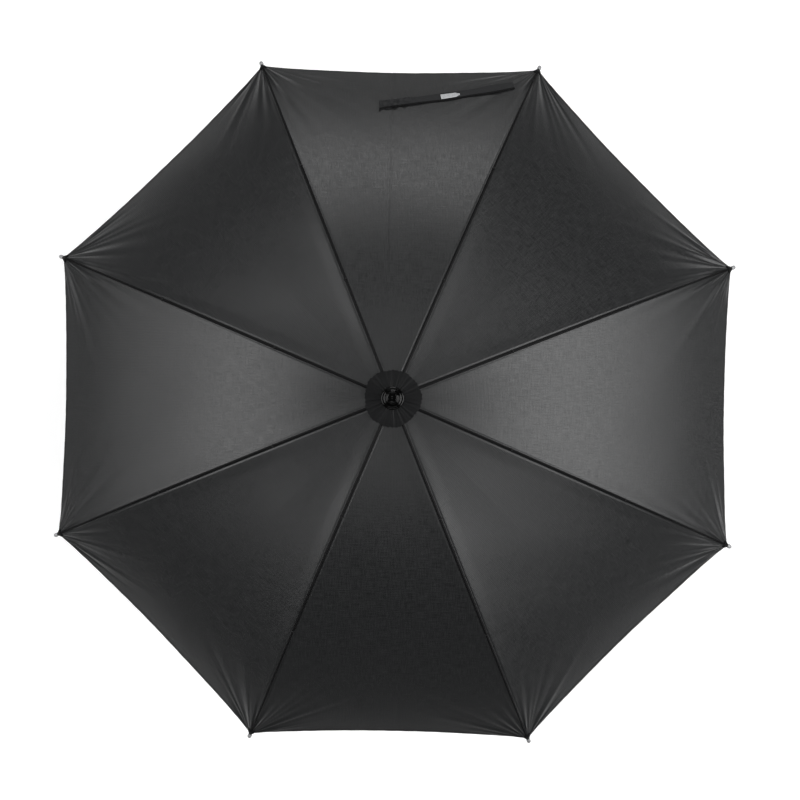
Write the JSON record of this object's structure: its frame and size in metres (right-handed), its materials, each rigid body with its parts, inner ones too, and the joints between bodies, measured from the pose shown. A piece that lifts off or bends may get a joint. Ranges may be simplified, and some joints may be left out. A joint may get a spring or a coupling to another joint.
{
  "type": "golf umbrella",
  "caption": "Open golf umbrella: panelled canopy on folding ribs and stretchers, round shaft with sliding runner and spring catches, straight foam grip.",
  "frame": {"origin": "middle of the hand grip, on the shaft's axis", "axes": "+Z along the shaft from the grip to the ferrule, canopy up; the ribs stand 22.5 degrees either side of +X and +Y"},
  "size_m": [1.2036, 1.2036, 1],
  "materials": {
    "canopy_cloth": "satin black pongee",
    "strap_cloth": "satin black pongee, doubled",
    "rib_rod": "black coated rod",
    "stretcher_steel": "black enamelled steel",
    "shaft_steel": "black enamelled steel tube",
    "tip_nickel": "bright nickel plate",
    "nylon_black": "moulded black nylon",
    "ferrule_gloss": "polished black plastic",
    "ring_wire": "galvanised wire",
    "spring_steel": "spring steel",
    "grip_foam": "closed-cell foam"
  },
  "bodies": {
    "root": {"shaft": "shaft_steel", "crown": "nylon_black", "crown_wire": "ring_wire", "rosette": "canopy_cloth", "ferrule": "ferrule_gloss", "handle_grip": "grip_foam", "handle_end_cap": "nylon_black"},
    "rib_1": {"rib_1": "rib_rod", "rib_tip_1": "tip_nickel", "rib_joint_1": "nylon_black"},
    "rib_2": {"rib_2": "rib_rod", "rib_tip_2": "tip_nickel", "rib_joint_2": "nylon_black"},
    "rib_3": {"rib_3": "rib_rod", "rib_tip_3": "tip_nickel", "rib_joint_3": "nylon_black"},
    "rib_4": {"rib_4": "rib_rod", "rib_tip_4": "tip_nickel", "rib_joint_4": "nylon_black"},
    "rib_5": {"rib_5": "rib_rod", "rib_tip_5": "tip_nickel", "rib_joint_5": "nylon_black"},
    "rib_6": {"rib_6": "rib_rod", "rib_tip_6": "tip_nickel", "rib_joint_6": "nylon_black"},
    "rib_7": {"rib_7": "rib_rod", "rib_tip_7": "tip_nickel", "rib_joint_7": "nylon_black"},
    "rib_8": {"rib_8": "rib_rod", "rib_tip_8": "tip_nickel", "rib_joint_8": "nylon_black"},
    "stretcher_1": {"stretcher_1": "stretcher_steel"},
    "stretcher_2": {"stretcher_2": "stretcher_steel"},
    "stretcher_3": {"stretcher_3": "stretcher_steel"},
    "stretcher_4": {"stretcher_4": "stretcher_steel"},
    "stretcher_5": {"stretcher_5": "stretcher_steel"},
    "stretcher_6": {"stretcher_6": "stretcher_steel"},
    "stretcher_7": {"stretcher_7": "stretcher_steel"},
    "stretcher_8": {"stretcher_8": "stretcher_steel"},
    "panel_1_cw": {"panel_1_cw": "canopy_cloth"},
    "panel_1_ccw": {"panel_1_ccw": "canopy_cloth"},
    "panel_2_cw": {"panel_2_cw": "canopy_cloth", "tie_strap": "strap_cloth"},
    "panel_2_ccw": {"panel_2_ccw": "canopy_cloth"},
    "panel_3_cw": {"panel_3_cw": "canopy_cloth"},
    "panel_3_ccw": {"panel_3_ccw": "canopy_cloth"},
    "panel_4_cw": {"panel_4_cw": "canopy_cloth"},
    "panel_4_ccw": {"panel_4_ccw": "canopy_cloth"},
    "panel_5_cw": {"panel_5_cw": "canopy_cloth"},
    "panel_5_ccw": {"panel_5_ccw": "canopy_cloth"},
    "panel_6_cw": {"panel_6_cw": "canopy_cloth"},
    "panel_6_ccw": {"panel_6_ccw": "canopy_cloth"},
    "panel_7_cw": {"panel_7_cw": "canopy_cloth"},
    "panel_7_ccw": {"panel_7_ccw": "canopy_cloth"},
    "panel_8_cw": {"panel_8_cw": "canopy_cloth"},
    "panel_8_ccw": {"panel_8_ccw": "canopy_cloth"},
    "runner": {"runner": "nylon_black", "runner_wire": "ring_wire"},
    "top_catch": {"top_catch": "spring_steel"},
    "bottom_catch": {"bottom_catch": "spring_steel"}
  },
  "joints": [
    {"name": "canopy_fold", "type": "hinge", "parent": "root", "child": "rib_1", "pos_m": [0.01201, 0.00498, 0.838], "axis": [-0.3827, 0.9239, 0], "range_deg": [0, 61], "deforming": ["panel_1_cw", "panel_1_ccw", "panel_2_cw", "panel_2_ccw", "panel_3_cw", "panel_3_ccw", "panel_4_cw", "panel_4_ccw", "panel_5_cw", "panel_5_ccw", "panel_6_cw", "panel_6_ccw", "panel_7_cw", "panel_7_ccw", "panel_8_cw", "panel_8_ccw", "tie_strap", "top_catch", "bottom_catch"]},
    {"name": "rib_fold_2", "type": "hinge", "parent": "root", "child": "rib_2", "pos_m": [0.00498, 0.01201, 0.838], "axis": [-0.9239, 0.3827, 0], "range_deg": [-0.2, 61.2]},
    {"name": "rib_fold_3", "type": "hinge", "parent": "root", "child": "rib_3", "pos_m": [-0.00498, 0.01201, 0.838], "axis": [-0.9239, -0.3827, 0], "range_deg": [-0.2, 61.2]},
    {"name": "rib_fold_4", "type": "hinge", "parent": "root", "child": "rib_4", "pos_m": [-0.01201, 0.00498, 0.838], "axis": [-0.3827, -0.9239, 0], "range_deg": [-0.2, 61.2]},
    {"name": "rib_fold_5", "type": "hinge", "parent": "root", "child": "rib_5", "pos_m": [-0.01201, -0.00498, 0.838], "axis": [0.3827, -0.9239, 0], "range_deg": [-0.2, 61.2]},
    {"name": "rib_fold_6", "type": "hinge", "parent": "root", "child": "rib_6", "pos_m": [-0.00498, -0.01201, 0.838], "axis": [0.9239, -0.3827, 0], "range_deg": [-0.2, 61.2]},
    {"name": "rib_fold_7", "type": "hinge", "parent": "root", "child": "rib_7", "pos_m": [0.00498, -0.01201, 0.838], "axis": [0.9239, 0.3827, 0], "range_deg": [-0.2, 61.2]},
    {"name": "rib_fold_8", "type": "hinge", "parent": "root", "child": "rib_8", "pos_m": [0.01201, -0.00498, 0.838], "axis": [0.3827, 0.9239, 0], "range_deg": [-0.2, 61.2]},
    {"name": "stretcher_pivot_1", "type": "hinge", "parent": "rib_1", "child": "stretcher_1", "pos_m": [0.31985, 0.13248, 0.73555], "axis": [-0.3827, 0.9239, 0], "range_deg": [-122.4, 0.4]},
    {"name": "stretcher_pivot_2", "type": "hinge", "parent": "rib_2", "child": "stretcher_2", "pos_m": [0.13248, 0.31985, 0.73555], "axis": [-0.9239, 0.3827, 0], "range_deg": [-122.4, 0.4]},
    {"name": "stretcher_pivot_3", "type": "hinge", "parent": "rib_3", "child": "stretcher_3", "pos_m": [-0.13248, 0.31985, 0.73555], "axis": [-0.9239, -0.3827, 0], "range_deg": [-122.4, 0.4]},
    {"name": "stretcher_pivot_4", "type": "hinge", "parent": "rib_4", "child": "stretcher_4", "pos_m": [-0.31985, 0.13248, 0.73555], "axis": [-0.3827, -0.9239, 0], "range_deg": [-122.4, 0.4]},
    {"name": "stretcher_pivot_5", "type": "hinge", "parent": "rib_5", "child": "stretcher_5", "pos_m": [-0.31985, -0.13248, 0.73555], "axis": [0.3827, -0.9239, 0], "range_deg": [-122.4, 0.4]},
    {"name": "stretcher_pivot_6", "type": "hinge", "parent": "rib_6", "child": "stretcher_6", "pos_m": [-0.13248, -0.31985, 0.73555], "axis": [0.9239, -0.3827, 0], "range_deg": [-122.4, 0.4]},
    {"name": "stretcher_pivot_7", "type": "hinge", "parent": "rib_7", "child": "stretcher_7", "pos_m": [0.13248, -0.31985, 0.73555], "axis": [0.9239, 0.3827, 0], "range_deg": [-122.4, 0.4]},
    {"name": "stretcher_pivot_8", "type": "hinge", "parent": "rib_8", "child": "stretcher_8", "pos_m": [0.31985, -0.13248, 0.73555], "axis": [0.3827, 0.9239, 0], "range_deg": [-122.4, 0.4]},
    {"name": "runner_pivot", "type": "hinge", "parent": "stretcher_1", "child": "runner", "pos_m": [0.01201, 0.00498, 0.63311], "axis": [-0.3827, 0.9239, 0], "range_deg": [-0.2, 61.2]},
    {"name": "gather_1_cw", "type": "hinge", "parent": "rib_1", "child": "panel_1_cw", "pos_m": [0.29018, 0.23954, 0.83976], "axis": [0.7352, 0.4689, -0.4895], "range_deg": [-64.04, 0.3]},
    {"name": "gather_1_ccw", "type": "hinge", "parent": "rib_2", "child": "panel_1_ccw", "pos_m": [0.23954, 0.29018, 0.83976], "axis": [0.4689, 0.7352, -0.4895], "range_deg": [-0.3, 64.04]},
    {"name": "gather_2_cw", "type": "hinge", "parent": "rib_2", "child": "panel_2_cw", "pos_m": [0.03581, 0.37457, 0.83976], "axis": [0.1883, 0.8515, -0.4895], "range_deg": [-64.04, 0.3]},
    {"name": "gather_2_ccw", "type": "hinge", "parent": "rib_3", "child": "panel_2_ccw", "pos_m": [-0.03581, 0.37457, 0.83976], "axis": [-0.1883, 0.8515, -0.4895], "range_deg": [-0.3, 64.04]},
    {"name": "gather_3_cw", "type": "hinge", "parent": "rib_3", "child": "panel_3_cw", "pos_m": [-0.23954, 0.29018, 0.83976], "axis": [-0.4689, 0.7352, -0.4895], "range_deg": [-64.04, 0.3]},
    {"name": "gather_3_ccw", "type": "hinge", "parent": "rib_4", "child": "panel_3_ccw", "pos_m": [-0.29018, 0.23954, 0.83976], "axis": [-0.7352, 0.4689, -0.4895], "range_deg": [-0.3, 64.04]},
    {"name": "gather_4_cw", "type": "hinge", "parent": "rib_4", "child": "panel_4_cw", "pos_m": [-0.37457, 0.03581, 0.83976], "axis": [-0.8515, 0.1883, -0.4895], "range_deg": [-64.04, 0.3]},
    {"name": "gather_4_ccw", "type": "hinge", "parent": "rib_5", "child": "panel_4_ccw", "pos_m": [-0.37457, -0.03581, 0.83976], "axis": [-0.8515, -0.1883, -0.4895], "range_deg": [-0.3, 64.04]},
    {"name": "gather_5_cw", "type": "hinge", "parent": "rib_5", "child": "panel_5_cw", "pos_m": [-0.29018, -0.23954, 0.83976], "axis": [-0.7352, -0.4689, -0.4895], "range_deg": [-64.04, 0.3]},
    {"name": "gather_5_ccw", "type": "hinge", "parent": "rib_6", "child": "panel_5_ccw", "pos_m": [-0.23954, -0.29018, 0.83976], "axis": [-0.4689, -0.7352, -0.4895], "range_deg": [-0.3, 64.04]},
    {"name": "gather_6_cw", "type": "hinge", "parent": "rib_6", "child": "panel_6_cw", "pos_m": [-0.03581, -0.37457, 0.83976], "axis": [-0.1883, -0.8515, -0.4895], "range_deg": [-64.04, 0.3]},
    {"name": "gather_6_ccw", "type": "hinge", "parent": "rib_7", "child": "panel_6_ccw", "pos_m": [0.03581, -0.37457, 0.83976], "axis": [0.1883, -0.8515, -0.4895], "range_deg": [-0.3, 64.04]},
    {"name": "gather_7_cw", "type": "hinge", "parent": "rib_7", "child": "panel_7_cw", "pos_m": [0.23954, -0.29018, 0.83976], "axis": [0.4689, -0.7352, -0.4895], "range_deg": [-64.04, 0.3]},
    {"name": "gather_7_ccw", "type": "hinge", "parent": "rib_8", "child": "panel_7_ccw", "pos_m": [0.29018, -0.23954, 0.83976], "axis": [0.7352, -0.4689, -0.4895], "range_deg": [-0.3, 64.04]},
    {"name": "gather_8_cw", "type": "hinge", "parent": "rib_8", "child": "panel_8_cw", "pos_m": [0.37457, -0.03581, 0.83976], "axis": [0.8515, -0.1883, -0.4895], "range_deg": [-64.04, 0.3]},
    {"name": "gather_8_ccw", "type": "hinge", "parent": "rib_1", "child": "panel_8_ccw", "pos_m": [0.37457, 0.03581, 0.83976], "axis": [0.8515, 0.1883, -0.4895], "range_deg": [-0.3, 64.04]},
    {"name": "top_catch_press", "type": "slide", "parent": "root", "child": "top_catch", "axis": [1, 0, 0], "range_m": [-0.0032, 0], "stiffness_N_per_m": 300},
    {"name": "bottom_catch_press", "type": "slide", "parent": "root", "child": "bottom_catch", "axis": [1, 0, 0], "range_m": [-0.0032, 0], "stiffness_N_per_m": 300}
  ],
  "couplings": [
    {"joint": "rib_fold_2", "follows": "canopy_fold", "ratio": 1},
    {"joint": "rib_fold_3", "follows": "canopy_fold", "ratio": 1},
    {"joint": "rib_fold_4", "follows": "canopy_fold", "ratio": 1},
    {"joint": "rib_fold_5", "follows": "canopy_fold", "ratio": 1},
    {"joint": "rib_fold_6", "follows": "canopy_fold", "ratio": 1},
    {"joint": "rib_fold_7", "follows": "canopy_fold", "ratio": 1},
    {"joint": "rib_fold_8", "follows": "canopy_fold", "ratio": 1},
    {"joint": "stretcher_pivot_1", "follows": "canopy_fold", "ratio": -2},
    {"joint": "stretcher_pivot_2", "follows": "canopy_fold", "ratio": -2},
    {"joint": "stretcher_pivot_3", "follows": "canopy_fold", "ratio": -2},
    {"joint": "stretcher_pivot_4", "follows": "canopy_fold", "ratio": -2},
    {"joint": "stretcher_pivot_5", "follows": "canopy_fold", "ratio": -2},
    {"joint": "stretcher_pivot_6", "follows": "canopy_fold", "ratio": -2},
    {"joint": "stretcher_pivot_7", "follows": "canopy_fold", "ratio": -2},
    {"joint": "stretcher_pivot_8", "follows": "canopy_fold", "ratio": -2},
    {"joint": "runner_pivot", "follows": "canopy_fold", "ratio": 1},
    {"joint": "gather_1_cw", "follows": "canopy_fold", "ratio": -1.045},
    {"joint": "gather_1_ccw", "follows": "canopy_fold", "ratio": 1.045},
    {"joint": "gather_2_cw", "follows": "canopy_fold", "ratio": -1.045},
    {"joint": "gather_2_ccw", "follows": "canopy_fold", "ratio": 1.045},
    {"joint": "gather_3_cw", "follows": "canopy_fold", "ratio": -1.045},
    {"joint": "gather_3_ccw", "follows": "canopy_fold", "ratio": 1.045},
    {"joint": "gather_4_cw", "follows": "canopy_fold", "ratio": -1.045},
    {"joint": "gather_4_ccw", "follows": "canopy_fold", "ratio": 1.045},
    {"joint": "gather_5_cw", "follows": "canopy_fold", "ratio": -1.045},
    {"joint": "gather_5_ccw", "follows": "canopy_fold", "ratio": 1.045},
    {"joint": "gather_6_cw", "follows": "canopy_fold", "ratio": -1.045},
    {"joint": "gather_6_ccw", "follows": "canopy_fold", "ratio": 1.045},
    {"joint": "gather_7_cw", "follows": "canopy_fold", "ratio": -1.045},
    {"joint": "gather_7_ccw", "follows": "canopy_fold", "ratio": 1.045},
    {"joint": "gather_8_cw", "follows": "canopy_fold", "ratio": -1.045},
    {"joint": "gather_8_ccw", "follows": "canopy_fold", "ratio": 1.045}
  ]
}
